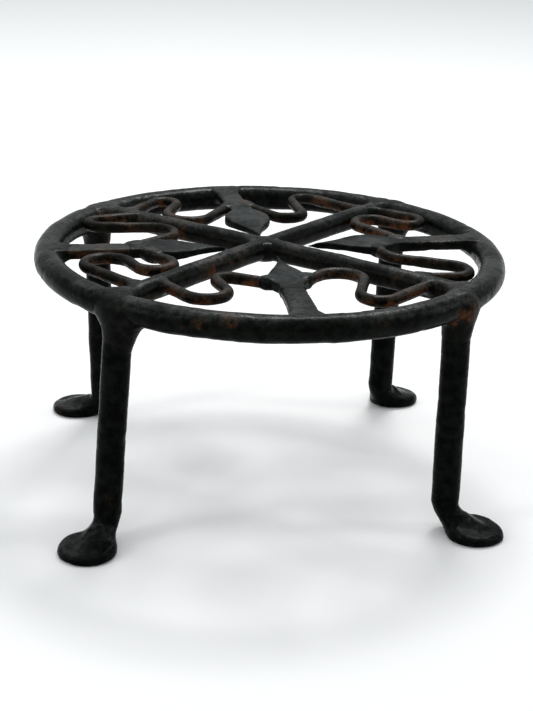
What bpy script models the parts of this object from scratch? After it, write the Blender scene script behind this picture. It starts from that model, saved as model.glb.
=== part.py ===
"""Round four-legged trivet, forged and welded from wrought-iron bar.

A hoop of round bar is crossed by two bars on its diagonals, half-lapped in the middle. Four flat
spokes run in from the hoop between them, and each carries a flat leaf that points at the middle.
Eight thin scrolls, bent to an S, join the cross bars to the spokes and leaves, and the tops of them
all lie level with the top of the hoop. Four legs stand under the ends of the cross bars, each forged
out at the bottom to a round flat foot.

Metres, +Z up. The origin is on the floor, under the middle of the hoop. Spokes lie near X and Y.
"""
import math

import bmesh
import bpy
from mathutils import Matrix, Vector

# ---- driving dimensions -------------------------------------------------------------------------
GAP = 0.0003              # left between a piece and the neighbour that it is fitted to

RING_RADIUS = 0.0981      # to the middle of the bar
RING_BAR = 0.0060         # radius of the bar
RING_HEIGHT = 0.1015      # floor to the middle of the ring's bar
RING_STEPS = 96
RING_SIDES = 12
RING_INSIDE = RING_RADIUS - RING_BAR
RING_TOP = RING_HEIGHT + RING_BAR * math.cos(math.pi / RING_SIDES)
FLUSH = RING_TOP - 0.0009             # welds are ground off at this height, just below the top

CROSS_BAR = 0.0048        # radius
BAR_HEIGHT = RING_HEIGHT + 0.0008
BAR_START = RING_RADIUS - 0.0035      # where a cross bar starts, inside the ring's bar

PLATE_THICKNESS = 0.0050  # of the spokes and leaves
PLATE_HEIGHT = RING_TOP - 0.0003 - PLATE_THICKNESS / 2    # its top a hair below the ring's
SPOKE_START = RING_RADIUS - 0.0006    # inside the ring's bar
SPOKE_INNER = 0.0620      # how far from the middle the spoke ends and the leaf's neck starts
SPOKE_HALF_WIDTH = 0.0058             # at the ring
LEAF_TIP = 0.0175         # distance of the leaf's tip from the middle
LEAF_SHOULDER = 0.0580    # where its shoulders have run in to the neck
LEAF_SWELL = 0.0088       # half width of the blade, apart from the neck
LEAF_SKEW = 1.7           # above 1, the blade is widest nearer its shoulders than its tip
LEAF_NECK_HALF_WIDTH = 0.0054
LEAF_STEPS = 10
EDGE_STEP = 0.0001        # of the search for a plate's edge along a wire

WIRE = 0.0025             # radius of the scroll wire
WIRE_HEIGHT = RING_TOP - 0.0002 - WIRE    # its top too
WIRE_STEP = 0.0034        # spacing of points round a bend

LEG_BAR = 0.0060          # radius
LEG_TOP = RING_HEIGHT - RING_BAR - GAP       # butted under the ring
LEG_UPRIGHT = 0.0070      # how far it runs straight down before it leans
LEG_BEND_RADIUS = 0.0080
LEG_BEND_CENTRE = 0.0130  # height of the bend's centre
LEG_BEND_STEPS = 5
LEG_TOE_BAR = 0.0043      # radius at the end of the bend
FOOT_RADIUS = 0.0122
FOOT_THICKNESS = 0.0048
FOOT_CROWN = 0.0030       # radius of the top of the foot over that of its edge

WELD_SIDES = 10
RING_WELD = 0.0062        # radius of the weld round a cross bar's end
RING_WELD_LENGTH = 0.0042
SPOKE_WELD = (0.0052, 0.0080, 0.0040)     # half sizes of the bead round a spoke's end
SPOKE_WELD_DROP = 0.0020  # its middle lies this much below the middle of the spoke
LEG_WELD = 0.0080
LEG_WELD_LENGTH = 0.0045
WIRE_WELD = 0.0042        # round the ends of a scroll
WIRE_WELD_LENGTH = 0.0026
CENTRE_WELD = (0.0092, 0.0092, 0.0062)    # half sizes of the bead round the lap
CENTRE_WELD_DROP = 0.0010
WELD_TWIST = 0.17         # turn of each collar about its bar, so that its edges miss the bar's
WELD_SINK = 0.0028        # how far a collar of weld starts below the surface that it sits on
PLATE_WELD_SINK = 0.0004  # the same, against the flat edge of a spoke or leaf

# Which way each spoke runs from the middle, in degrees from +X.
SPOKES = {"east": 2.5, "north": 93.5, "west": 179.4, "south": 268.5}

# Each corner is made by eye: where round the ring the cross bar ends and where the leg stands, and
# which way its foot points, in degrees. Then in millimetres how far its heel has been set out (+) or
# in (-), and how far the middle of the foot lies from the heel.
CORNERS = {
    "back_right": (45.5, 41.7, 39, -2.5, 12.0),
    "back_left": (134.5, 136.8, 143, -3.5, 15.5),
    "front_left": (220, 221.3, 233, +6.0, 15.4),
    "front_right": (317.3, 312.2, 319, +0.7, 14.9),
}

# Each cross bar's two corners.
CROSS_BARS = {"a": ("front_left", "back_right"), "b": ("back_left", "front_right")}

# The hand-bent scrolls: the spoke, and the side of it (+1 anticlockwise). Then the bend by the ring
# and the bend by the leaf, each with its centre's place along the spoke and out from it and its
# radius, in millimetres, and the angle from the spoke at which the outer one starts or the inner ends.
SCROLLS = {
    "scroll_1": ("north", +1, (76.3, 34.0, 5.8, 50), (58.0, 25.5, 10.3, 233)),
    "scroll_2": ("north", -1, (75.5, 35.5, 6.0, 55), (55.5, 21.0, 8.0, 242)),
    "scroll_3": ("east", +1, (74.0, 36.5, 6.8, 50), (57.0, 32.0, 8.8, 206)),
    "scroll_4": ("east", -1, (69.8, 41.6, 8.4, 93), (60.0, 12.6, 12.4, 184)),
    "scroll_5": ("south", +1, (67.9, 34.7, 7.6, 44), (47.9, 22.0, 10.4, 225)),
    "scroll_6": ("south", -1, (60.4, 36.0, 9.3, 63), (46.5, 24.5, 5.2, 206)),
    "scroll_7": ("west", +1, (73.3, 20.3, 10.2, 35), (53.8, 20.3, 8.3, 220)),
    "scroll_8": ("west", -1, (72.0, 43.0, 5.6, 76), (50.4, 26.1, 10.7, 233)),
}


# ---- collections and materials ------------------------------------------------------------------
for old in list(bpy.data.objects):
    bpy.data.objects.remove(old, do_unlink=True)


def new_collection(name):
    collection = bpy.data.collections.new(name)
    bpy.context.scene.collection.children.link(collection)
    return collection


PARTS = new_collection("trivet")
CUTTERS = new_collection("cutters")


def iron(name, colour, roughness, metallic):
    """A Principled material for one finish of iron."""
    material = bpy.data.materials.new(name)
    material.use_nodes = True
    shader = material.node_tree.nodes["Principled BSDF"]
    shader.inputs["Base Color"].default_value = (*colour, 1.0)
    shader.inputs["Roughness"].default_value = roughness
    shader.inputs["Metallic"].default_value = metallic
    return material


RING_IRON = iron("ring_iron", (0.030, 0.031, 0.031), 0.50, 0.85)
BAR_IRON = iron("bar_iron", (0.026, 0.027, 0.027), 0.50, 0.85)
LEAF_IRON = iron("leaf_iron", (0.040, 0.041, 0.040), 0.58, 0.80)
WIRE_IRON = iron("wire_iron", (0.060, 0.040, 0.028), 0.68, 0.60)
LEG_IRON = iron("leg_iron", (0.024, 0.025, 0.026), 0.48, 0.85)
WELD_IRON = iron("weld_iron", (0.038, 0.033, 0.029), 0.70, 0.70)


# ---- building blocks ----------------------------------------------------------------------------
def add_mesh(name, mesh, material, collection=PARTS):
    """A mesh object in its collection; a cutter is hidden from renders and drawn as wire."""
    obj = bpy.data.objects.new(name, mesh)
    collection.objects.link(obj)
    if material:
        mesh.materials.append(material)
    if collection is CUTTERS:
        obj.hide_render = True
        obj.display_type = "WIRE"
    return obj


def take_mesh(guide, name, material, collection):
    """The evaluated mesh of a guide object, welded shut, in place of the guide."""
    depsgraph = bpy.context.evaluated_depsgraph_get()
    mesh = bpy.data.meshes.new_from_object(guide.evaluated_get(depsgraph))
    mesh.name = name
    bm = bmesh.new()
    bm.from_mesh(mesh)
    bmesh.ops.remove_doubles(bm, verts=bm.verts, dist=1e-6)
    bmesh.ops.recalc_face_normals(bm, faces=bm.faces)
    bm.to_mesh(mesh)
    bm.free()
    mesh.materials.clear()
    matrix = guide.matrix_world.copy()
    bpy.data.objects.remove(guide, do_unlink=True)
    obj = add_mesh(name, mesh, material, collection)
    obj.matrix_world = matrix
    return obj


def rod(name, points, radii, material, collection=PARTS, sides=12):
    """Round bar along points, its radius given at each point."""
    curve = bpy.data.curves.new(name + "_guide", "CURVE")
    curve.dimensions = "3D"
    curve.bevel_depth = 1.0
    curve.bevel_resolution = (sides - 4) // 2
    curve.use_fill_caps = True
    spline = curve.splines.new("POLY")
    spline.points.add(len(points) - 1)
    for point, place, radius in zip(spline.points, points, radii):
        point.co = (*place, 1.0)
        point.radius = radius
    guide = bpy.data.objects.new(name + "_guide", curve)
    collection.objects.link(guide)
    return take_mesh(guide, name, material, collection)


def turn_section(obj, steps):
    """Turn a closed section about its object's Z."""
    screw = obj.modifiers.new("turn", "SCREW")
    screw.angle = 2 * math.pi
    screw.steps = steps
    screw.render_steps = steps
    screw.use_merge_vertices = True
    screw.merge_threshold = 1e-5


def hoop(name, bar_radius, material, collection=PARTS):
    """The ring: a section with a flat on top and underneath, turned about Z."""
    mesh = bpy.data.meshes.new(name)
    bm = bmesh.new()
    section = []
    for side in range(RING_SIDES):
        turn = math.pi / 2 - (side + 0.5) * 2 * math.pi / RING_SIDES
        x = RING_RADIUS + bar_radius * math.cos(turn)
        section.append(bm.verts.new((x, 0, RING_HEIGHT + bar_radius * math.sin(turn))))
    for this, following in zip(section, section[1:] + section[:1]):
        bm.edges.new((this, following))
    bm.to_mesh(mesh)
    bm.free()
    obj = add_mesh(name, mesh, material, collection)
    turn_section(obj, RING_STEPS)
    return obj


def lump(name, centre, half_sizes, turn):
    """A weld bead over a crossing, before it is fitted: a squashed ball."""
    mesh = bpy.data.meshes.new(name)
    bm = bmesh.new()
    bmesh.ops.create_uvsphere(bm, u_segments=14, v_segments=8, radius=1.0)
    place = Matrix.Translation(centre) @ Matrix.Rotation(turn, 4, "Z") @ Matrix.Diagonal((*half_sizes, 1))
    bmesh.ops.transform(bm, matrix=place, verts=bm.verts)
    bm.to_mesh(mesh)
    bm.free()
    return add_mesh(name, mesh, WELD_IRON)


def collar(name, foot, away, bore, reach, length, sink=WELD_SINK):
    """A fillet of weld round a bar where it meets a surface.

    foot is the middle of the joint on the surface, and away points along the bar from there. The
    collar is reach wide at the surface and narrows to the bar over its length.
    """
    mesh = bpy.data.meshes.new(name)
    bm = bmesh.new()
    inner = bore + GAP
    section = [
        (inner + (reach - inner) * 0.22, length),
        (inner + (reach - inner) * 0.60, length * 0.45),
        (reach, -sink),
        (inner, -sink),
        (inner, length),
    ]
    corners = [bm.verts.new((x, 0, z)) for x, z in section]
    for this, following in zip(corners, corners[1:] + corners[:1]):
        bm.edges.new((this, following))
    bm.to_mesh(mesh)
    bm.free()
    obj = add_mesh(name, mesh, WELD_IRON)
    aim = away.to_track_quat("Z", "Y").to_matrix().to_4x4()
    obj.matrix_world = Matrix.Translation(foot) @ aim @ Matrix.Rotation(WELD_TWIST, 4, "Z")
    turn_section(obj, WELD_SIDES)
    return obj


def block(name, centre, sizes, turn):
    """A box cutter, turned about Z."""
    mesh = bpy.data.meshes.new(name)
    bm = bmesh.new()
    bmesh.ops.create_cube(bm, size=1.0)
    place = Matrix.Translation(centre) @ Matrix.Rotation(turn, 4, "Z") @ Matrix.Diagonal((*sizes, 1))
    bmesh.ops.transform(bm, matrix=place, verts=bm.verts)
    bm.to_mesh(mesh)
    bm.free()
    return add_mesh(name, mesh, None, CUTTERS)


def combine(obj, other, operation):
    modifier = obj.modifiers.new(operation.lower() + "_" + other.name, "BOOLEAN")
    modifier.operation = operation
    modifier.object = other
    modifier.solver = "EXACT"


def fit(obj, *cutters):
    """Cut a piece back from its neighbours' clearances."""
    for cutter in cutters:
        combine(obj, cutter, "DIFFERENCE")


def polar(distance, degrees, height=0.0):
    turn = math.radians(degrees)
    return Vector((distance * math.cos(turn), distance * math.sin(turn), height))


def crossing_of(first, second):
    """Where two lines cross in plan, each given by two points."""
    a, b = first[1] - first[0], second[1] - second[0]
    between = second[0] - first[0]
    return first[0] + a * ((between.x * b.y - between.y * b.x) / (a.x * b.y - a.y * b.x))


def out_through_side(start, away, axis, half_width):
    """Where a wire that starts over a bar's axis comes out through the bar's side."""
    return start + away * (half_width / away.cross(axis).length)


def out_of_plate(start, away, along, across):
    """Where a wire that starts within a spoke or leaf comes out past its edge."""
    place = start.copy()
    while abs(place.dot(across)) < plate_half_width(place.dot(along)):
        place += away * EDGE_STEP
    return place


# ---- the pieces ---------------------------------------------------------------------------------
def cross_bar(name, line, grow=0.0, collection=PARTS):
    """A straight bar right across, its ends still inside the ring's bar."""
    return rod(name, line, [CROSS_BAR + grow] * 2, BAR_IRON, collection)


def plate_half_width(along):
    """Half the width of a leaf and its spoke, at a distance from the middle of the trivet."""
    if along > SPOKE_INNER:
        part = (along - SPOKE_INNER) / (SPOKE_START - SPOKE_INNER)
        return LEAF_NECK_HALF_WIDTH + (SPOKE_HALF_WIDTH - LEAF_NECK_HALF_WIDTH) * part
    part = min(max((along - LEAF_TIP) / (LEAF_SHOULDER - LEAF_TIP), 0), 1)
    return LEAF_SWELL * math.sin(math.pi * part ** LEAF_SKEW) ** 1.1 + LEAF_NECK_HALF_WIDTH * part ** 4


def plate(name, corners, degrees, material, thickness, collection):
    """A flat piece cut from plate, its outline drawn along +X and then turned to its place."""
    outline = bpy.data.curves.new(name + "_outline", "CURVE")
    outline.dimensions = "2D"
    outline.fill_mode = "BOTH"
    outline.extrude = thickness / 2
    spline = outline.splines.new("POLY")
    spline.points.add(len(corners) - 1)
    for point, place in zip(spline.points, corners):
        point.co = (*place, 0.0, 1.0)
    spline.use_cyclic_u = True
    guide = bpy.data.objects.new(name + "_guide", outline)
    collection.objects.link(guide)
    guide.location = (0, 0, PLATE_HEIGHT)
    guide.rotation_euler = (0, 0, math.radians(degrees))
    bpy.context.view_layer.update()
    return take_mesh(guide, name, material, collection)


def spoke(name, degrees, grow=0.0, collection=PARTS):
    """A flat bar from inside the ring's bar to the neck of the leaf."""
    side = [(at, plate_half_width(SPOKE_START if at > SPOKE_INNER else SPOKE_INNER) + grow)
            for at in (SPOKE_START + grow, SPOKE_INNER - grow)]
    corners = [(x, -y) for x, y in side] + side[::-1]
    return plate(name, corners, degrees, BAR_IRON, PLATE_THICKNESS + 2 * grow, collection)


def leaf(name, degrees, grow=0.0, collection=PARTS):
    """A flat spear-shaped plate, its neck against the end of the spoke."""
    side = []
    for step in range(1, LEAF_STEPS + 1):
        along = LEAF_TIP + (LEAF_SHOULDER - LEAF_TIP) * step / LEAF_STEPS
        side.append((along, plate_half_width(along) + grow))
    side.append((SPOKE_INNER - GAP + grow, LEAF_NECK_HALF_WIDTH + grow))
    tip = (LEAF_TIP - grow * 2, 0.0)
    corners = [tip] + [(x, -y) for x, y in side] + side[::-1]
    return plate(name, corners, degrees, LEAF_IRON, PLATE_THICKNESS + 2 * grow, collection)


def bend(centre, radius, start, end):
    """Points round a bend from one angle to another."""
    steps = max(3, round(abs(end - start) * radius / WIRE_STEP))
    points = []
    for step in range(steps + 1):
        turn = start + (end - start) * step / steps
        points.append(centre + radius * Vector((math.cos(turn), math.sin(turn))))
    return points


def scroll_route(along, across, line, outer, inner):
    """The middle line of one scroll, from the axis of its cross bar to within its spoke or leaf.

    It leaves the cross bar in a straight line, rounds the outer bend clockwise, crosses on the bends'
    common tangent, rounds the inner bend the other way and runs straight in past the plate's edge.
    """
    def in_grille(place, height=WIRE_HEIGHT):
        return along * place.x + across * place.y + Vector((0, 0, height))

    outer_centre, outer_radius, start = Vector(outer[:2]) / 1000, outer[2] / 1000, math.radians(outer[3])
    inner_centre, inner_radius, end = Vector(inner[:2]) / 1000, inner[2] / 1000, math.radians(inner[3])
    between = inner_centre - outer_centre
    lean = math.acos((outer_radius + inner_radius) / between.length)
    crossing = (math.atan2(between.y, between.x) + lean) % math.tau - math.tau
    bends = bend(outer_centre, outer_radius, start, crossing)
    bends += bend(inner_centre, inner_radius, crossing + math.pi, end)
    points = [in_grille(place) for place in bends]
    back = in_grille(Vector((-math.sin(start), math.cos(start))), 0.0)
    onward = in_grille(Vector((-math.sin(end), math.cos(end))), 0.0)
    neck = across * (LEAF_NECK_HALF_WIDTH / 2) + Vector((0, 0, WIRE_HEIGHT))
    root = crossing_of((points[0], points[0] + back), line)
    tail = crossing_of((points[-1], points[-1] + onward), (neck, neck + along))
    return [root, *points, tail]


def leg(name, place, heel, toe):
    """A bar down from the ring, bent over its heel at the bottom and tapered into the foot."""
    ahead = (toe - heel).normalized()
    points = [polar(RING_RADIUS, place, LEG_TOP), polar(RING_RADIUS, place, LEG_TOP - LEG_UPRIGHT)]
    radii = [LEG_BAR, LEG_BAR]
    for step in range(LEG_BEND_STEPS + 1):
        part = step / LEG_BEND_STEPS
        down = math.pi * (1 + part / 2)
        height = LEG_BEND_CENTRE + LEG_BEND_RADIUS * math.sin(down)
        points.append(heel + ahead * (LEG_BEND_RADIUS * (1 + math.cos(down))) + Vector((0, 0, height)))
        radii.append(LEG_BAR + (LEG_TOE_BAR - LEG_BAR) * part)
    points.append(toe + Vector((0, 0, FOOT_THICKNESS * 0.6)))
    radii.append(FOOT_THICKNESS * 0.5)
    return rod(name, points, radii, LEG_IRON)


def foot(name, toe):
    """The round flat end of a leg, smaller on top than at its edge."""
    mesh = bpy.data.meshes.new(name)
    bm = bmesh.new()
    bmesh.ops.create_cone(bm, cap_ends=True, segments=24, radius1=FOOT_RADIUS,
                          radius2=FOOT_RADIUS - FOOT_CROWN, depth=FOOT_THICKNESS)
    bmesh.ops.translate(bm, verts=bm.verts, vec=toe + Vector((0, 0, FOOT_THICKNESS / 2)))
    bm.to_mesh(mesh)
    bm.free()
    return add_mesh(name, mesh, None, CUTTERS)


# ---- the ring -----------------------------------------------------------------------------------
hoop("ring", RING_BAR, RING_IRON)
ring_clearance = hoop("ring_clearance", RING_BAR + GAP, None, CUTTERS)
above = block("above_the_top", Vector((0, 0, FLUSH + 0.005)), (0.25, 0.25, 0.010), 0)

# ---- the cross bars -----------------------------------------------------------------------------
# Half of each is cut away where they cross, the top of one and the bottom of the other.
bars = {}
for letter, (start, end) in CROSS_BARS.items():
    line = [polar(BAR_START, CORNERS[corner][0], BAR_HEIGHT) for corner in (start, end)]
    bar = cross_bar("cross_bar_" + letter, line)
    clearance = cross_bar("cross_bar_clearance_" + letter, line, GAP, CUTTERS)
    fit(bar, ring_clearance)
    bars[letter] = (bar, clearance, line)
lap = crossing_of(bars["a"][2], bars["b"][2])
for letter, other, side in (("a", "b", +1), ("b", "a", -1)):
    bar, line = bars[letter][0], bars[other][2]
    run = line[1] - line[0]
    middle = lap + Vector((0, 0, side * (CROSS_BAR - GAP / 2)))
    notch = block(bar.name + "_notch", middle, (0.024, 2 * (CROSS_BAR + GAP), 2 * CROSS_BAR),
                  math.atan2(run.y, run.x))
    fit(bar, notch)
bead = lump("weld_centre", lap - Vector((0, 0, CENTRE_WELD_DROP)), CENTRE_WELD, WELD_TWIST)
fit(bead, bars["a"][1], bars["b"][1], above)

# ---- the spokes and their leaves ----------------------------------------------------------------
plate_clearances = {}
for side, degrees in SPOKES.items():
    fit(spoke("spoke_" + side, degrees), ring_clearance)
    leaf("leaf_" + side, degrees)
    plate_clearances[side] = (spoke("spoke_clearance_" + side, degrees, GAP, CUTTERS),
                              leaf("leaf_clearance_" + side, degrees, GAP, CUTTERS))
    middle = polar(RING_INSIDE, degrees, PLATE_HEIGHT - SPOKE_WELD_DROP)
    bead = lump("weld_spoke_" + side, middle, SPOKE_WELD, math.radians(degrees))
    fit(bead, ring_clearance, plate_clearances[side][0], above)

# ---- the scrolls, with a weld at both ends ------------------------------------------------------
rise = WIRE_HEIGHT - BAR_HEIGHT
bar_half_width = math.sqrt(CROSS_BAR ** 2 - rise ** 2)    # at the height of the wire
for name, (side, hand, outer, inner) in SCROLLS.items():
    degrees = SPOKES[side]
    letter = "a" if math.sin(2 * math.radians(degrees + hand * 45)) > 0 else "b"
    bar_clearance, line = bars[letter][1:]
    along, across = polar(1, degrees), polar(1, degrees + hand * 90)
    route = scroll_route(along, across, [place + Vector((0, 0, rise)) for place in line], outer, inner)
    wire = rod(name, route, [WIRE] * len(route), WIRE_IRON, sides=8)
    fit(wire, bar_clearance, *plate_clearances[side])
    number = name.split("_")[1]
    run = (line[1] - line[0]).normalized()
    away = (route[1] - route[0]).normalized()
    foot_of_weld = out_through_side(route[0], away, run, bar_half_width)
    length = WIRE_WELD_LENGTH / away.cross(run).length    # longer where the wire leaves at a slant
    bead = collar("weld_bar_" + number, foot_of_weld, away, WIRE, WIRE_WELD, length)
    fit(bead, bar_clearance, above)
    away = (route[-2] - route[-1]).normalized()
    foot_of_weld = out_of_plate(route[-1], away, along, across)
    bead = collar("weld_leaf_" + number, foot_of_weld, away, WIRE, WIRE_WELD, WIRE_WELD_LENGTH,
                  PLATE_WELD_SINK)
    fit(bead, *plate_clearances[side], above)

# ---- the corners: bar ends, legs and their welds ------------------------------------------------
for corner, (bar_end, leg_place, toe_turn, splay, reach) in CORNERS.items():
    top = polar(RING_RADIUS, leg_place, LEG_TOP)
    heel = polar(RING_RADIUS + splay / 1000, leg_place)
    toe = heel + polar(reach / 1000, toe_turn)
    made = leg("leg_" + corner, leg_place, heel, toe)
    combine(made, foot("foot_" + corner, toe), "UNION")
    room = [top + Vector((0, 0, GAP)), top - Vector((0, 0, LEG_UPRIGHT))]
    leg_clearance = rod("leg_clearance_" + corner, room, [LEG_BAR + GAP] * 2, None, CUTTERS)
    end = polar(BAR_START, bar_end, BAR_HEIGHT)
    inwards = (lap - end).normalized()
    at_ring = end + inwards * (BAR_START - RING_INSIDE)
    bead = collar("weld_ring_" + corner, at_ring, inwards, CROSS_BAR, RING_WELD, RING_WELD_LENGTH)
    fit(bead, ring_clearance, leg_clearance, above)
    room = [at_ring - inwards * (WELD_SINK + GAP), at_ring + inwards * (RING_WELD_LENGTH + GAP)]
    bead_clearance = rod("weld_clearance_" + corner, room, [RING_WELD + 2 * GAP] * 2, None, CUTTERS)
    bead = collar("weld_leg_" + corner, top, Vector((0, 0, -1)), LEG_BAR, LEG_WELD, LEG_WELD_LENGTH)
    fit(bead, ring_clearance, bead_clearance)

for obj in PARTS.objects:
    obj.data.shade_smooth()
    obj.data.set_sharp_from_angle(angle=math.radians(40))
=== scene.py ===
"""Looks of the round wrought-iron trivet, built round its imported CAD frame.

Every CAD node is replaced by a forged version of itself. Bars and wire are fine swept tubes. Spokes,
leaves, legs and welds are closed surfaces drawn round distance fields, so that metal runs smoothly
into metal. All of them then get the relief of hammered iron.

Metres, +Z up, the origin on the floor.
"""

import math

import bpy
import numpy as np
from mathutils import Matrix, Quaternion, Vector


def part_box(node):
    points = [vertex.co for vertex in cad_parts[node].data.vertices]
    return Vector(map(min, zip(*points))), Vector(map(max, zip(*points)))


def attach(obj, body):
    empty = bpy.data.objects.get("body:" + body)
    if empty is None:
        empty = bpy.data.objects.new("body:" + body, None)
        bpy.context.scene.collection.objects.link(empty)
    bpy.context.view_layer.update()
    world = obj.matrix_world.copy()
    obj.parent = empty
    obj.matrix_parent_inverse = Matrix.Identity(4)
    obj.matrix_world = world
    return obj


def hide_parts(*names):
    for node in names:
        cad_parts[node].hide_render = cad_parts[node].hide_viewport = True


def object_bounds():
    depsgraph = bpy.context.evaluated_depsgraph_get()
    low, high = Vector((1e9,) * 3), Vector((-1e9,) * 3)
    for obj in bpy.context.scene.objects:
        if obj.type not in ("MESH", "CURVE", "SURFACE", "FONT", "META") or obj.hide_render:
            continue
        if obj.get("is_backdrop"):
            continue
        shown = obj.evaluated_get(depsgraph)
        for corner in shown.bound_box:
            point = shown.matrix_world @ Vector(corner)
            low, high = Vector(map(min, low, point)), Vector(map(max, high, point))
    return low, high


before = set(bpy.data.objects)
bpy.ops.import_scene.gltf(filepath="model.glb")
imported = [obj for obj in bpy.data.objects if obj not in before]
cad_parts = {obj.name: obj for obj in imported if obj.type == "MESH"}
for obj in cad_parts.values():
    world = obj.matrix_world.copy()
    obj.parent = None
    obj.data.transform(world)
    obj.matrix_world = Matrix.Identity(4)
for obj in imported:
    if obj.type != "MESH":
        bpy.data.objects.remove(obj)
cad_low, cad_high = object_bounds()

# ---- sizes, from the CAD nodes -------------------------------------------------------------------
ring_low, ring_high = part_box("ring")
bar_low, bar_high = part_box("cross_bar_a")
spoke_low, spoke_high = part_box("spoke_east")
wire_low, wire_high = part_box("scroll_1")
leg_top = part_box("leg_front_right")[1]

RING_HEIGHT = (ring_low.z + ring_high.z) / 2
RING_HALF = (ring_high.z - ring_low.z) / 2
RING_RADIUS = ring_high.x - RING_HALF
RING_BAR = RING_HALF / math.cos(math.radians(15))
RING_INSIDE = RING_RADIUS - RING_BAR
RING_TOP = ring_high.z
BAR_HEIGHT = (bar_low.z + bar_high.z) / 2
CROSS_BAR = (bar_high.z - bar_low.z) / 2
WIRE_HEIGHT = (wire_low.z + wire_high.z) / 2
WIRE = (wire_high.z - wire_low.z) / 2
PLATE_HEIGHT = (spoke_low.z + spoke_high.z) / 2
PLATE_HALF_THICKNESS = (spoke_high.z - spoke_low.z) / 2
LEG_TOP = leg_top.z

SPOKE_START = RING_RADIUS - 0.0006
SPOKE_INNER = 0.0620
SPOKE_HALF_WIDTH = 0.0058
LEAF_NECK = 0.0054
LEAF_TIP_HALF_THICKNESS = 0.0016
LEAF_GAIN = PLATE_HALF_THICKNESS - 0.0017     # how much thicker half of it is at the neck
LEAF_THICKENS = (0.0240, 0.0560)      # the stretch over which it thickens
LEAF_DROOP_START = 0.0520             # a leaf bends from here to its tip
LEAF_END = 0.0632         # where its neck ends, inside the spoke
LEG_BAR = 0.0060
LEG_TOE_BAR = 0.0043
LEG_BEND_RADIUS = 0.0080
LEG_BEND_CENTRE = 0.0130
LEG_BEND_STEPS = 8
LEG_UPRIGHT = 0.0070
FOOT_RADIUS = 0.0122
FOOT_THICKNESS = 0.0048
FOOT_SLOPE = 0.10         # of its top, down towards the toe
FOOT_ROUNDING = 0.0030    # of its upper edge
FOOT_BLEND = 0.0052       # how widely the leg runs into it
ARCH = 0.0010             # how far the cross bars rise towards the middle
BAR_START = RING_RADIUS - 0.0015      # where a cross bar starts, inside the ring's bar
RING_POINTS = 900         # round the ring
BAR_SPACING = 0.0007      # between the points along a bar
WIRE_SPACING = 0.0006
BEND_SPACING = 0.0007     # between the points round a scroll's bend
WIRE_WAVE = 0.00030       # how far a scroll's wire rises and falls along its length
WIRE_DROP = 0.00010       # how far below its CAD solid it lies on the whole
DOME = 0.4                # height of a bar's domed end, as a share of its radius
DOME_DEGREES = (30, 60, 82)
STUB = range(0, 40, 3)    # the points at the end of a scroll's wire that its weld is drawn round

# The size of the cells that each kind of surface is drawn in, and the room left round each CAD box.
PLATE_CELL, LEAF_CELL, LEG_CELL = 0.00034, 0.00032, 0.00042
ROOM = Vector((0.0012, 0.0012, 0.0020))
LEG_ROOM_BELOW, LEG_ROOM_ABOVE = Vector((0.0015, 0.0015, 0.0010)), Vector((0.0015, 0.0015, 0.0065))
PAST_NECK, PAST_TIP = 0.0020, 0.0070  # how much further a leaf's surface may run at either end

# For each kind of weld, how widely it blends its pieces, how far it reaches and the size of its cells.
WIRE_BEAD = (0.0034, 0.0068, 0.00030)     # at a scroll's end on a cross bar
LEAF_BEAD = (0.0036, 0.0068, 0.00030)     # at its other end, on a spoke or leaf
CENTRE_BEAD = (0.0050, 0.0115, 0.00034)
SPOKE_BEAD = (0.0048, 0.0100, 0.00034)
RING_BEAD = (0.0058, 0.0115, 0.00034)     # round a cross bar's end
LEG_BEAD = (0.0066, 0.0150, 0.00038)
WELD_PROUD = 0.0001       # how far a weld stands over its pieces at the joint
WELD_SINK = 0.0010        # and how far it has sunk under them where it ends

SPOKES = {"east": 2.5, "north": 93.5, "west": 179.4, "south": 268.5}

# Each leaf's tip, how far out its shoulders run, its half width, and how far towards them it is widest.
LEAVES = {
    "east": (0.0165, 0.0580, 0.0088, 1.7),
    "north": (0.0160, 0.0575, 0.0093, 1.7),
    "west": (0.0175, 0.0580, 0.0088, 1.7),
    "south": (0.0120, 0.0575, 0.0070, 2.3),
}

# Where round the ring each bar ends and each leg stands, and which way its foot points, in degrees.
# Then in millimetres how far its heel is set out, and how far the foot lies from the heel.
CORNERS = {
    "back_right": (45.5, 41.7, 39, -2.5, 12.0),
    "back_left": (134.5, 136.8, 143, -3.5, 15.5),
    "front_left": (220, 221.3, 233, +6.0, 15.4),
    "front_right": (317.3, 312.2, 319, +0.7, 14.9),
}
CROSS_BARS = {"a": ("front_left", "back_right"), "b": ("back_left", "front_right")}

# The spoke of each scroll and the side of it (+1 anticlockwise), then its outer and inner bends. Each has
# its centre along and across from the spoke and its radius in millimetres, and where it starts or ends.
SCROLLS = {
    "scroll_1": ("north", +1, (76.3, 34.0, 5.8, 50), (58.0, 25.5, 10.3, 233)),
    "scroll_2": ("north", -1, (75.5, 35.5, 6.0, 55), (55.5, 21.0, 8.0, 242)),
    "scroll_3": ("east", +1, (74.0, 36.5, 6.8, 50), (57.0, 32.0, 8.8, 206)),
    "scroll_4": ("east", -1, (69.8, 41.6, 8.4, 93), (60.0, 12.6, 12.4, 184)),
    "scroll_5": ("south", +1, (67.9, 34.7, 7.6, 44), (47.9, 22.0, 10.4, 225)),
    "scroll_6": ("south", -1, (60.4, 36.0, 9.3, 63), (46.5, 24.5, 5.2, 206)),
    "scroll_7": ("west", +1, (73.3, 20.3, 10.2, 35), (53.8, 20.3, 8.3, 220)),
    "scroll_8": ("west", -1, (72.0, 43.0, 5.6, 76), (50.4, 26.1, 10.7, 233)),
}

# How far each leaf's tip has been hammered down, as a slope.
DROOPS = {"east": 0.01, "north": 0.05, "west": 0.03, "south": -0.02}

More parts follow.
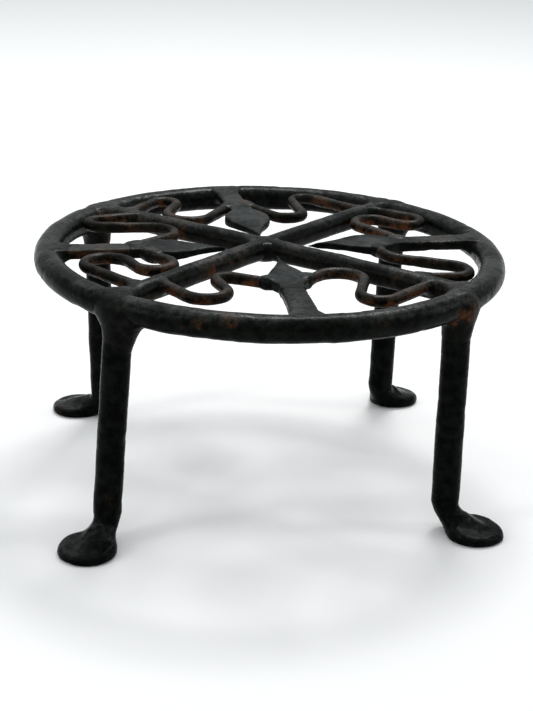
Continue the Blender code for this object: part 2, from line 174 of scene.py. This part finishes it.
# A bead run up one side of a leg's top: degrees round the ring, how far down the leg, and its radius.
WEBS = {
    "back_right": (-3.0, 0.006, 0.0030),
    "back_left": (3.0, 0.006, 0.0030),
    "front_left": (5.2, 0.013, 0.0044),
    "front_right": (3.6, 0.008, 0.0036),
}


# ---- noise and relief ----------------------------------------------------------------------------
def lattice(cells, seed):
    """A fixed number from -1 to 1 for each whole-numbered point."""
    mixed = (cells * np.array([73856093, 19349663, 83492791])).astype(np.int64)
    value = (mixed[:, 0] ^ mixed[:, 1] ^ mixed[:, 2] ^ (seed * 2654435761)) & 0xFFFFFFFF
    value = ((value ^ (value >> 15)) * 2246822519) & 0xFFFFFFFF
    value = ((value ^ (value >> 13)) * 3266489917) & 0xFFFFFFFF
    return (value ^ (value >> 16)) / 2.0 ** 31 - 1


def noise(points, size, seed=0):
    """Smooth noise from -1 to 1, its lumps about size across."""
    scaled = points / size
    cells = np.floor(scaled)
    part = scaled - cells
    part = part ** 3 * (part * (part * 6 - 15) + 10)
    total = np.zeros(len(points))
    for dx in (0, 1):
        for dy in (0, 1):
            for dz in (0, 1):
                corner = np.array([dx, dy, dz])
                weight = np.prod(np.where(corner, part, 1 - part), axis=1)
                total += weight * lattice(cells + corner, seed)
    return total


def relief(points, seed, strength=1.0):
    """The height of hammered iron over its plain shape: broad flats, dents and scale."""
    broad = noise(points, 0.0095, seed) * 0.00017
    dents = np.maximum(0, noise(points, 0.0046, seed + 1) - 0.25) * -0.00030
    scale = noise(points, 0.0016, seed + 2) * 0.000035
    return strength * (broad + dents + scale)


# ---- meshes --------------------------------------------------------------------------------------
BLOCK = 4    # a surface's field is first tried once for every block of this many cells each way


def piece(name, verts, faces, node, slot, seed, strength=1.0, soften=0):
    """A forged piece that stands for a CAD node."""
    verts = np.asarray(verts, float)
    faces = np.asarray(faces)
    if soften:
        ends = np.concatenate([faces[:, [k, (k + 1) % 4]] for k in range(4)])
        count = np.bincount(ends[:, 0], minlength=len(verts))
        count = count + np.bincount(ends[:, 1], minlength=len(verts))
        for _ in range(soften):
            total = np.zeros_like(verts)
            for axis in range(3):
                total[:, axis] = np.bincount(ends[:, 0], verts[ends[:, 1], axis], len(verts))
                total[:, axis] += np.bincount(ends[:, 1], verts[ends[:, 0], axis], len(verts))
            verts = (verts + total / count[:, None]) / 2
    mesh = bpy.data.meshes.new(name)
    mesh.from_pydata(verts.tolist(), [], faces.tolist())
    normals = np.zeros(len(verts) * 3)
    mesh.vertices.foreach_get("normal", normals)
    verts = verts + normals.reshape(-1, 3) * relief(verts, seed, strength)[:, None]
    verts[:, 2] = np.maximum(verts[:, 2], 0)
    mesh.vertices.foreach_set("co", verts.ravel())
    mesh.update()
    mesh.shade_smooth()
    obj = bpy.data.objects.new(name, mesh)
    bpy.context.scene.collection.objects.link(obj)
    mesh.materials.append(IRON[slot])
    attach(obj, "root")
    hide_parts(node)


def resampled(path, spacing):
    """A polyline's points again, evenly spaced, and how far along each one is."""
    steps = np.linalg.norm(np.diff(path, axis=0), axis=1)
    along = np.concatenate([[0], np.cumsum(steps)])
    places = np.linspace(0, along[-1], max(8, round(along[-1] / spacing)))
    return np.stack([np.interp(places, along, path[:, axis]) for axis in range(3)], axis=1), places


def tube(name, path, radii, node, slot, seed, sides=28, closed=False, strength=1.0, flat=0.0):
    """A level bar swept along a path, with domed ends. flat takes that share off its top and bottom."""
    around = np.arange(sides) * 2 * math.pi / sides
    ahead = np.roll(path, -1, 0) - np.roll(path, 1, 0)
    if not closed:
        ahead[0], ahead[-1] = path[1] - path[0], path[-1] - path[-2]
    ahead /= np.linalg.norm(ahead, axis=1)[:, None]
    stations = list(zip(path, ahead, radii))
    if not closed:
        for degrees in DOME_DEGREES:
            out, shrink = math.sin(math.radians(degrees)) * DOME, math.cos(math.radians(degrees))
            stations.insert(0, (path[0] - ahead[0] * radii[0] * out, ahead[0], radii[0] * shrink))
            stations.append((path[-1] + ahead[-1] * radii[-1] * out, ahead[-1], radii[-1] * shrink))
    rise = np.sin(around)
    rise = rise * (1 - flat * rise ** 4)
    verts = []
    for place, forward, radius in stations:
        side = np.cross(forward, (0, 0, 1))
        side /= np.linalg.norm(side)
        outline = np.cos(around)[:, None] * side + rise[:, None] * np.array([0, 0, 1])
        verts.append(place + radius * outline)
    verts = np.concatenate(verts)
    rows = len(stations)
    row, column = np.meshgrid(np.arange(rows if closed else rows - 1), np.arange(sides), indexing="ij")
    following, beside = (row + 1) % rows, (column + 1) % sides
    faces = np.stack([row * sides + column, row * sides + beside,
                      following * sides + beside, following * sides + column], axis=-1).reshape(-1, 4)
    if not closed:
        half = sides // 2
        first = (rows - 1) * sides
        caps = [[k, sides - 1 - k, sides - 2 - k, k + 1] for k in range(half - 1)]
        caps += [[first + k, first + k + 1, first + sides - 2 - k, first + sides - 1 - k]
                 for k in range(half - 1)]
        faces = np.concatenate([faces, np.array(caps)])
    piece(name, verts, faces[:, ::-1], node, slot, seed, strength)


def surface(name, field, low, high, voxel, node, slot, seed, strength=1.0):
    """The closed surface where a distance field is zero, inside a box."""
    low = np.array(low, float)
    blocks = np.ceil((np.array(high) - low) / voxel / BLOCK).astype(int) + 1
    grid = np.stack(np.meshgrid(*[np.arange(n) for n in blocks], indexing="ij"), axis=-1)
    middles = (grid.reshape(-1, 3) * BLOCK + (BLOCK - 1) / 2) * voxel + low
    values = field(middles).reshape(blocks)
    for axis in range(3):
        values = np.repeat(values, BLOCK, axis=axis)
    close = np.argwhere(np.abs(values) < 1.6 * BLOCK * voxel)
    values[tuple(close.T)] = field(close * voxel + low)
    cells = np.array(values.shape) - 1
    total, crossings = np.zeros((*cells, 3)), np.zeros(cells)
    for axis in range(3):
        one, two = (axis + 1) % 3, (axis + 2) % 3
        for a in (0, 1):
            for b in (0, 1):
                start = np.zeros(3, int)
                start[one], start[two] = a, b
                end = start.copy()
                end[axis] = 1
                near = values[tuple(slice(s, s + n) for s, n in zip(start, cells))]
                far = values[tuple(slice(s, s + n) for s, n in zip(end, cells))]
                cut = (near < 0) != (far < 0)
                place = np.tile(start.astype(float), (np.count_nonzero(cut), 1))
                place[:, axis] += near[cut] / (near[cut] - far[cut])
                total[cut] += place
                crossings[cut] += 1
    used = crossings > 0
    index = np.full(cells, -1)
    index[used] = np.arange(np.count_nonzero(used))
    verts = (np.argwhere(used) + total[used] / crossings[used][:, None]) * voxel + low
    faces = []
    for axis in range(3):
        one, two = (axis + 1) % 3, (axis + 2) % 3
        inner = [slice(1, -1)] * 3
        near_side, far_side = list(inner), list(inner)
        near_side[axis], far_side[axis] = slice(0, -1), slice(1, None)
        near, far = values[tuple(near_side)], values[tuple(far_side)]
        at = np.argwhere((near < 0) != (far < 0))
        inside_first = near[tuple(at.T)] < 0
        at[:, one] += 1
        at[:, two] += 1
        back_one, back_two = np.zeros(3, int), np.zeros(3, int)
        back_one[one], back_two[two] = 1, 1
        ring = [at, at - back_one, at - back_one - back_two, at - back_two]
        quads = np.stack([index[tuple(place.T)] for place in ring], axis=1)
        quads[~inside_first] = quads[~inside_first][:, ::-1]
        faces.append(quads)
    piece(name, verts, np.concatenate(faces), node, slot, seed, strength, soften=2)


# ---- distance fields -----------------------------------------------------------------------------
def smooth_min(one, two, width):
    step = np.maximum(width - np.abs(one - two), 0) / width
    return np.minimum(one, two) - step * step * width / 4


def smooth_max(one, two, width):
    return -smooth_min(-one, -two, width)


def eased(value, low, high):
    """0 below low, 1 above high, and a smooth step between them."""
    part = np.clip((value - low) / (high - low), 0, 1)
    return part * part * (3 - 2 * part)


def chain_field(points, radii):
    """Distance from a string of tapered bars."""
    def field(p):
        nearest = np.full(len(p), 1.0)
        for start, end, r_start, r_end in zip(points, points[1:], radii, radii[1:]):
            run = np.array(end) - np.array(start)
            part = np.clip((p - np.array(start)) @ run / (run @ run), 0, 1)
            away = np.linalg.norm(p - np.array(start) - part[:, None] * run, axis=1)
            nearest = np.minimum(nearest, away - r_start - (r_end - r_start) * part)
        return nearest
    return field


def ring_field(p):
    return np.hypot(np.hypot(p[:, 0], p[:, 1]) - RING_RADIUS, p[:, 2] - RING_HEIGHT) - RING_BAR


def leaf_half_width(along, tip, shoulder, swell, skew):
    """Half the leaf's width at a distance from the middle of the trivet."""
    part = np.clip((along - tip) / (shoulder - tip), 0, 1)
    return swell * np.sin(math.pi * part ** skew) ** 1.1 + LEAF_NECK * part ** 4


def leaf_field(degrees, droop, shape):
    """A hammered blade, thinner at its tip, whose neck is the end of the spoke."""
    out = np.array(polar(1, degrees))
    side = np.array(polar(1, degrees + 90))

    def field(p):
        along, across = p @ out, p @ side
        half = leaf_half_width(along, *shape)
        slope = (leaf_half_width(along + 1e-5, *shape) - half) / 1e-5
        edge = (np.abs(across) - half) / np.sqrt(1 + slope * slope)
        thick = LEAF_TIP_HALF_THICKNESS + LEAF_GAIN * eased(along, *LEAF_THICKENS)
        bent = droop * np.maximum(LEAF_DROOP_START - along, 0)
        middle = PLATE_HEIGHT + PLATE_HALF_THICKNESS - thick - bent
        face = np.abs(p[:, 2] - middle) - thick
        blade = smooth_max(edge, face, 0.0014)
        blade = smooth_max(blade, shape[0] - along, 0.0008)
        return smooth_max(blade, along - LEAF_END, 0.0006)
    return field


def spoke_field(degrees):
    """A flat bar with worn corners, from inside the ring's bar to the neck of the leaf."""
    out = np.array(polar(1, degrees))
    side = np.array(polar(1, degrees + 90))

    def field(p):
        along, across = p @ out, p @ side
        half = LEAF_NECK + (SPOKE_HALF_WIDTH - LEAF_NECK) * eased(along, SPOKE_INNER, SPOKE_START)
        face = np.abs(p[:, 2] - PLATE_HEIGHT) - PLATE_HALF_THICKNESS + 0.0001
        strap = smooth_max(np.abs(across) - half, face, 0.0022)
        return smooth_max(strap, np.maximum(along - SPOKE_START, SPOKE_INNER - 0.001 - along), 0.0006)
    return field


# ---- routes --------------------------------------------------------------------------------------
def polar(distance, degrees, height=0.0):
    turn = math.radians(degrees)
    return Vector((distance * math.cos(turn), distance * math.sin(turn), height))


def crossing_of(first, second):
    a, b = first[1] - first[0], second[1] - second[0]
    between = second[0] - first[0]
    return first[0] + a * ((between.x * b.y - between.y * b.x) / (a.x * b.y - a.y * b.x))


def bend(centre, radius, start, end):
    steps = max(6, round(abs(end - start) * radius / BEND_SPACING))
    turns = [start + (end - start) * step / steps for step in range(steps + 1)]
    return [centre + radius * Vector((math.cos(turn), math.sin(turn))) for turn in turns]


def scroll_route(along, across, line, outer, inner):
    """The middle line of a scroll, from its cross bar's axis to within its spoke or leaf."""
    def in_grille(place, height=WIRE_HEIGHT):
        return along * place.x + across * place.y + Vector((0, 0, height))

    outer_centre, outer_radius, start = Vector(outer[:2]) / 1000, outer[2] / 1000, math.radians(outer[3])
    inner_centre, inner_radius, end = Vector(inner[:2]) / 1000, inner[2] / 1000, math.radians(inner[3])
    between = inner_centre - outer_centre
    lean = math.acos((outer_radius + inner_radius) / between.length)
    crossing = (math.atan2(between.y, between.x) + lean) % math.tau - math.tau
    bends = bend(outer_centre, outer_radius, start, crossing)
    bends += bend(inner_centre, inner_radius, crossing + math.pi, end)
    points = [in_grille(place) for place in bends]
    back = in_grille(Vector((-math.sin(start), math.cos(start))), 0.0)
    onward = in_grille(Vector((-math.sin(end), math.cos(end))), 0.0)
    neck = across * (LEAF_NECK / 2) + Vector((0, 0, WIRE_HEIGHT))
    root = crossing_of((points[0], points[0] + back), line)
    tail = crossing_of((points[-1], points[-1] + onward), (neck, neck + along))
    return [root, *points, tail]


def leg_route(place, heel, toe):
    """Points and radii down a leg, round its bend and out into the foot."""
    ahead = (toe - heel).normalized()
    points = [polar(RING_RADIUS, place, RING_HEIGHT - 0.001),
              polar(RING_RADIUS, place, LEG_TOP - LEG_UPRIGHT)]
    radii = [LEG_BAR, LEG_BAR]
    for step in range(LEG_BEND_STEPS + 1):
        down = math.pi * (1 + step / (2 * LEG_BEND_STEPS))
        height = LEG_BEND_CENTRE + LEG_BEND_RADIUS * math.sin(down)
        points.append(heel + ahead * (LEG_BEND_RADIUS * (1 + math.cos(down))) + Vector((0, 0, height)))
        radii.append(LEG_BAR + (LEG_TOE_BAR - LEG_BAR) * step / LEG_BEND_STEPS)
    points.append(toe + Vector((0, 0, FOOT_THICKNESS * 0.6)))
    radii.append(FOOT_THICKNESS * 0.5)
    return points, radii


# ---- materials -----------------------------------------------------------------------------------
def iron(name, dark, grey, rubbed_and_top_lit, rusted, rough, shine, seed):
    """Blackened iron: mottled oxide, a grey on what faces up that is partly worn metal and partly painted
    top light, brown rust in patches, fine pits.
    """
    material = bpy.data.materials.new(name)
    material.use_nodes = True
    tree = material.node_tree
    nodes, links = tree.nodes, tree.links
    shader = nodes["Principled BSDF"]
    place = nodes.new("ShaderNodeTexCoord")
    shifted = nodes.new("ShaderNodeVectorMath")
    shifted.inputs[1].default_value = (seed * 0.31, seed * 0.17, seed * 0.23)
    links.new(place.outputs["Object"], shifted.inputs[0])

    def texture(scale, detail, roughness=0.55):
        node = nodes.new("ShaderNodeTexNoise")
        node.inputs["Scale"].default_value = scale
        node.inputs["Detail"].default_value = detail
        node.inputs["Roughness"].default_value = roughness
        links.new(shifted.outputs[0], node.inputs["Vector"])
        return node.outputs["Fac"]

    def spread(value, low, high, to_low=0.0, to_high=1.0):
        node = nodes.new("ShaderNodeMapRange")
        node.interpolation_type = "SMOOTHSTEP"
        limits = {"From Min": low, "From Max": high, "To Min": to_low, "To Max": to_high}
        for socket, number in limits.items():
            node.inputs[socket].default_value = number
        links.new(value, node.inputs["Value"])
        return node.outputs["Result"]

    def maths(operation, one, two):
        node = nodes.new("ShaderNodeMath")
        node.operation = operation
        for socket, value in zip(node.inputs, (one, two)):
            if isinstance(value, float):
                socket.default_value = value
            else:
                links.new(value, socket)
        return node.outputs[0]

    def mixed(factor, one, two):
        node = nodes.new("ShaderNodeMix")
        node.data_type = "RGBA"
        links.new(factor, node.inputs["Factor"])
        for socket, value in ((node.inputs[6], one), (node.inputs[7], two)):
            if isinstance(value, tuple):
                socket.default_value = (*value, 1.0)
            else:
                links.new(value, socket)
        return node.outputs[2]

    patches, mottle, grain, scale = texture(55, 5), texture(240, 4), texture(1100, 3), texture(430, 6, 0.7)
    geometry = nodes.new("ShaderNodeNewGeometry")
    facing = nodes.new("ShaderNodeSeparateXYZ")
    links.new(geometry.outputs["Normal"], facing.inputs[0])
    up = spread(facing.outputs["Z"], 0.15, 0.95)

    middle = tuple((a * 2 + b) / 3 for a, b in zip(dark, grey))
    colour = mixed(spread(mottle, 0.38, 0.64), dark, middle)
    # Painted top light: what faces up turns grey, partly worn metal and partly painted light falling from
    # above.
    wear_and_top_light = maths("MULTIPLY", up, spread(patches, 0.36, 0.66, 0.25, 1.0))
    wear_and_top_light = maths("MULTIPLY", maths("MULTIPLY", wear_and_top_light, spread(scale, 0.36, 0.62, 0.35, 1.0)), float(rubbed_and_top_lit))
    colour = mixed(wear_and_top_light, colour, grey)
    rust_mask = maths("MULTIPLY", spread(patches, 0.66 - 0.26 * rusted, 0.78 - 0.22 * rusted),
                      spread(mottle, 0.40, 0.60))
    rust_mask = maths("MULTIPLY", rust_mask, spread(scale, 0.38, 0.58, 0.3, 1.0))
    rust_mask = maths("MULTIPLY", rust_mask, spread(facing.outputs["Z"], -0.2, 0.8, 1.0, 0.35))
    bright_rust = tuple(c * 2.2 for c in RUST)
    colour = mixed(rust_mask, colour, mixed(spread(grain, 0.45, 0.62), RUST, bright_rust))
    links.new(colour, shader.inputs["Base Color"])

    plain = spread(scale, 0.36, 0.64, rough - 0.12, rough + 0.12)
    plain = maths("SUBTRACT", plain, maths("MULTIPLY", wear_and_top_light, 0.10))
    roughness = nodes.new("ShaderNodeMix")
    links.new(rust_mask, roughness.inputs[0])
    links.new(plain, roughness.inputs[2])
    roughness.inputs[3].default_value = 0.88
    links.new(roughness.outputs[0], shader.inputs["Roughness"])
    links.new(spread(wear_and_top_light, 0.0, 0.8, shine, shine * 5), shader.inputs["Specular IOR Level"])

    pits = nodes.new("ShaderNodeTexVoronoi")
    pits.inputs["Scale"].default_value = 520
    links.new(shifted.outputs[0], pits.inputs["Vector"])
    height = maths("ADD", maths("MULTIPLY", scale, 0.55), maths("MULTIPLY", grain, 0.30))
    height = maths("ADD", height, maths("MULTIPLY", spread(pits.outputs["Distance"], 0.0, 0.32), 0.30))
    height = maths("ADD", height, maths("MULTIPLY", maths("MULTIPLY", rust_mask, grain), 0.8))
    bump = nodes.new("ShaderNodeBump")
    bump.inputs["Strength"].default_value = 0.55
    bump.inputs["Distance"].default_value = 0.00035
    links.new(height, bump.inputs["Height"])
    links.new(bump.outputs[0], shader.inputs["Normal"])
    return material


RUST = (0.060, 0.021, 0.007)

# The darkest colour of each slot, its grey (partly worn metal, partly painted top light), how far that
# grey covers what faces up, how far it is rusted, its roughness and its shine.
FINISHES = {
    "ring_iron": ((0.0009, 0.0012, 0.0008), (0.012, 0.015, 0.012), 0.9, 0.26, 0.27, 0.032),
    "bar_iron": ((0.0014, 0.0013, 0.0008), (0.011, 0.014, 0.011), 0.9, 0.50, 0.32, 0.030),
    "leaf_iron": ((0.0018, 0.0024, 0.0020), (0.013, 0.017, 0.015), 0.9, 0.15, 0.44, 0.030),
    "wire_iron": ((0.0024, 0.0017, 0.0009), (0.016, 0.017, 0.012), 0.8, 0.94, 0.34, 0.035),
    "leg_iron": ((0.0006, 0.0008, 0.0006), (0.010, 0.013, 0.011), 0.9, 0.18, 0.26, 0.022),
    "weld_iron": ((0.0012, 0.0013, 0.0009), (0.012, 0.015, 0.012), 0.9, 0.45, 0.32, 0.030),
}
IRON = {name: iron(name, *finish, seed) for seed, (name, finish) in enumerate(FINISHES.items(), 1)}


# ---- the ring, cross bars and spokes -------------------------------------------------------------
turns = np.arange(RING_POINTS) * 2 * math.pi / RING_POINTS
level = np.full(RING_POINTS, RING_HEIGHT)
circle = np.stack([RING_RADIUS * np.cos(turns), RING_RADIUS * np.sin(turns), level], axis=1)
tube("forged_ring", circle, np.full(RING_POINTS, RING_BAR), "ring", "ring_iron", 10,
     sides=40, closed=True, flat=0.04)

lines = {}
for letter, corners in CROSS_BARS.items():
    ends = [polar(BAR_START, CORNERS[corner][0], BAR_HEIGHT) for corner in corners]
    lines[letter] = ends
    path, places = resampled(np.array(ends), BAR_SPACING)
    path[:, 2] += ARCH * np.sin(math.pi * places / places[-1])
    radii = CROSS_BAR * (1 + 0.012 * np.sin(places * 190 + len(letter)))
    tube("forged_cross_bar_" + letter, path, radii, "cross_bar_" + letter, "bar_iron",
         20 + ord(letter), sides=36)
lap = crossing_of(lines["a"], lines["b"])

spoke_fields, leaf_fields = {}, {}
for number, (side, degrees) in enumerate(SPOKES.items()):
    spoke_fields[side] = spoke_field(degrees)
    low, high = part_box("spoke_" + side)
    surface("forged_spoke_" + side, spoke_fields[side], low - ROOM, high + ROOM, PLATE_CELL,
            "spoke_" + side, "bar_iron", 30 + number, strength=1.2)

# ---- the leaves ----------------------------------------------------------------------------------
for number, (side, degrees) in enumerate(SPOKES.items()):
    leaf_fields[side] = leaf_field(degrees, DROOPS[side], LEAVES[side])
    low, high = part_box("leaf_" + side)
    past_neck, past_tip = polar(PAST_NECK, degrees), polar(-PAST_TIP, degrees)
    low = Vector(map(min, low, low + past_neck, low + past_tip)) - ROOM
    high = Vector(map(max, high, high + past_neck, high + past_tip)) + ROOM
    surface("forged_leaf_" + side, leaf_fields[side], low, high, LEAF_CELL,
            "leaf_" + side, "leaf_iron", 40 + number, strength=1.5)


# ---- welds ---------------------------------------------------------------------------------------
def weld(name, centre, fields, bead, seed):
    """A bead that fills the corner between pieces and sinks under them away from the joint."""
    centre = np.array(centre)
    blend, reach, cell = bead

    def field(p):
        joined = fields[0](p)
        for other in fields[1:]:
            joined = smooth_min(joined, other(p), blend)
        away = np.linalg.norm(p - centre, axis=1)
        joined = joined + WELD_SINK * eased(away, reach * 0.45, reach) - WELD_PROUD
        joined = smooth_max(joined, p[:, 2] - RING_TOP - WELD_PROUD, 0.0008)
        return smooth_max(joined, away - reach, 0.0010)

    room = reach + 2 * cell
    surface("bead_" + name, field, centre - room, centre + room, cell, name, "weld_iron", seed,
            strength=1.4)


def either(one, two):
    return lambda p: np.minimum(one(p), two(p))


# ---- the scrolls and the welds at their ends -----------------------------------------------------
BAR_SIDE = math.sqrt(CROSS_BAR ** 2 - (WIRE_HEIGHT - BAR_HEIGHT) ** 2)
plate_fields = {side: either(spoke_fields[side], leaf_fields[side]) for side in SPOKES}
for number, (name, (side, hand, outer, inner)) in enumerate(SCROLLS.items(), 1):
    degrees = SPOKES[side]
    letter = "a" if math.sin(2 * math.radians(degrees + hand * 45)) > 0 else "b"
    along, across = polar(1, degrees), polar(1, degrees + hand * 90)
    rise = Vector((0, 0, WIRE_HEIGHT - BAR_HEIGHT))
    route = scroll_route(along, across, [place + rise for place in lines[letter]], outer, inner)
    path, places = resampled(np.array(route), WIRE_SPACING)
    path[:, 2] += WIRE_WAVE * np.sin(places * 47 + number) - WIRE_DROP
    radii = WIRE * (1 + 0.03 * np.sin(places * 130 + number * 2))
    tube("forged_" + name, path, radii, name, "wire_iron", 50 + number, sides=26, strength=0.8)
    run = (lines[letter][1] - lines[letter][0]).normalized()
    away = (route[1] - route[0]).normalized()
    joint = route[0] + away * (BAR_SIDE / away.cross(run).length)
    wire = chain_field([path[k] for k in STUB], [WIRE] * len(STUB))
    weld("weld_bar_%d" % number, joint, [chain_field(lines[letter], [CROSS_BAR] * 2), wire],
         WIRE_BEAD, 60 + number)
    away = (route[-2] - route[-1]).normalized()
    inside = next(k for k in range(len(path)) if plate_fields[side](path[-1 - k:len(path) - k])[0] > 0)
    joint = path[-1 - inside]
    wire = chain_field([path[-1 - k] for k in STUB], [WIRE] * len(STUB))
    weld("weld_leaf_%d" % number, joint, [plate_fields[side], wire], LEAF_BEAD, 70 + number)

# ---- the other welds of the grille ---------------------------------------------------------------
bar_fields = {letter: chain_field(ends, [CROSS_BAR] * 2) for letter, ends in lines.items()}
raised = {letter: chain_field([place + Vector((0, 0, ARCH)) for place in ends], [CROSS_BAR] * 2)
          for letter, ends in lines.items()}
weld("weld_centre", lap + Vector((0, 0, ARCH)), [raised["a"], raised["b"]], CENTRE_BEAD, 80)
for number, (side, degrees) in enumerate(SPOKES.items()):
    joint = polar(RING_INSIDE, degrees, PLATE_HEIGHT)
    weld("weld_spoke_" + side, joint, [ring_field, spoke_fields[side]], SPOKE_BEAD, 90 + number)

# ---- the legs ------------------------------------------------------------------------------------
for corner, (bar_end, stands, toe_turn, splay, reach) in CORNERS.items():
    heel = polar(RING_RADIUS + splay / 1000, stands)
    end = heel + polar(reach / 1000, toe_turn)
    points, radii = leg_route(stands, heel, end)
    bar = chain_field(points, radii)
    toe, out, seed = np.array(end), np.array(polar(1, toe_turn)), int(stands)

    def foot_field(p):
        flat = p - toe
        ahead = flat @ out
        edge = np.hypot(flat[:, 0], flat[:, 1]) - FOOT_RADIUS * (1 + 0.02 * noise(p, 0.010, seed))
        top = p[:, 2] - (FOOT_THICKNESS - 0.0002) + ahead * FOOT_SLOPE
        return smooth_max(edge, top + 0.00030 * noise(p, 0.008, seed + 3), FOOT_ROUNDING)

    def leg_field(p):
        whole = smooth_min(bar(p), foot_field(p), FOOT_BLEND)
        return smooth_max(whole, -p[:, 2], 0.0008)

    low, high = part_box("leg_" + corner)
    surface("forged_leg_" + corner, leg_field, low - LEG_ROOM_BELOW, high + LEG_ROOM_ABOVE, LEG_CELL,
            "leg_" + corner, "leg_iron", seed, strength=1.2)

    letter = "a" if corner in CROSS_BARS["a"] else "b"
    joint = polar(RING_INSIDE, bar_end, BAR_HEIGHT)
    weld("weld_ring_" + corner, joint, [ring_field, bar_fields[letter]], RING_BEAD, 100 + seed)
    turn, drop, thick = WEBS[corner]
    top = polar(RING_RADIUS, stands, LEG_TOP)
    web = chain_field([polar(RING_RADIUS, stands + turn, RING_HEIGHT - 0.003), top - Vector((0, 0, drop))],
                      [thick, thick * 0.8])
    weld("weld_leg_" + corner, top, [ring_field, bar, web], LEG_BEAD, 110 + seed)

# ---- floor, light and camera ---------------------------------------------------------------------
floor_mesh = bpy.data.meshes.new("floor")
floor_mesh.from_pydata([(-6, -6, 0), (6, -6, 0), (6, 6, 0), (-6, 6, 0)], [], [(0, 1, 2, 3)])
floor = bpy.data.objects.new("floor", floor_mesh)
bpy.context.scene.collection.objects.link(floor)
floor.location.z = cad_low.z - 0.0002
paper = bpy.data.materials.new("paper")
paper.use_nodes = True
paper.node_tree.nodes["Principled BSDF"].inputs["Base Color"].default_value = (0.86, 0.86, 0.85, 1)
paper.node_tree.nodes["Principled BSDF"].inputs["Roughness"].default_value = 0.9
floor_mesh.materials.append(paper)
floor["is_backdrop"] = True

world = bpy.data.worlds.new("studio")
bpy.context.scene.world = world
world.use_nodes = True
world.node_tree.nodes["Background"].inputs[0].default_value = (0.93, 0.96, 1.0, 1)
world.node_tree.nodes["Background"].inputs[1].default_value = 0.52


def softbox(name, place, aim, size, power, colour=(1, 1, 1)):
    lamp = bpy.data.lights.new(name, "AREA")
    lamp.shape = "RECTANGLE"
    lamp.size, lamp.size_y = size
    lamp.energy = power
    lamp.color = colour
    obj = bpy.data.objects.new(name, lamp)
    bpy.context.scene.collection.objects.link(obj)
    obj.location = place
    obj.rotation_euler = (Vector(place) - Vector(aim)).to_track_quat("Z", "Y").to_euler()


middle = (cad_low + cad_high) / 2
softbox("overhead", (0.0, 0.7, 1.6), middle, (2.4, 2.0), 18, (0.97, 0.99, 1.0))
softbox("key", (0.25, 0.55, 1.1), middle, (0.35, 0.25), 6)
softbox("left", (-1.3, -0.4, 0.7), middle, (0.25, 0.8), 4)
softbox("right", (1.3, -0.2, 0.7), middle, (0.25, 0.8), 3)

CAMERA_PLACE = Vector((-0.1288, -0.6784, 0.3127))
CAMERA_ROLL = math.radians(2.0)
CAMERA_LENS = 82
camera_data = bpy.data.cameras.new("camera")
camera_data.lens = CAMERA_LENS
camera = bpy.data.objects.new("camera", camera_data)
bpy.context.scene.collection.objects.link(camera)
camera.location = CAMERA_PLACE
aim = (middle - CAMERA_PLACE).to_track_quat("-Z", "Y")
camera.rotation_euler = (aim @ Quaternion((0, 0, 1), CAMERA_ROLL)).to_euler()
bpy.context.scene.camera = camera
bpy.context.scene.view_settings.view_transform = "Standard"

low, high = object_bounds()
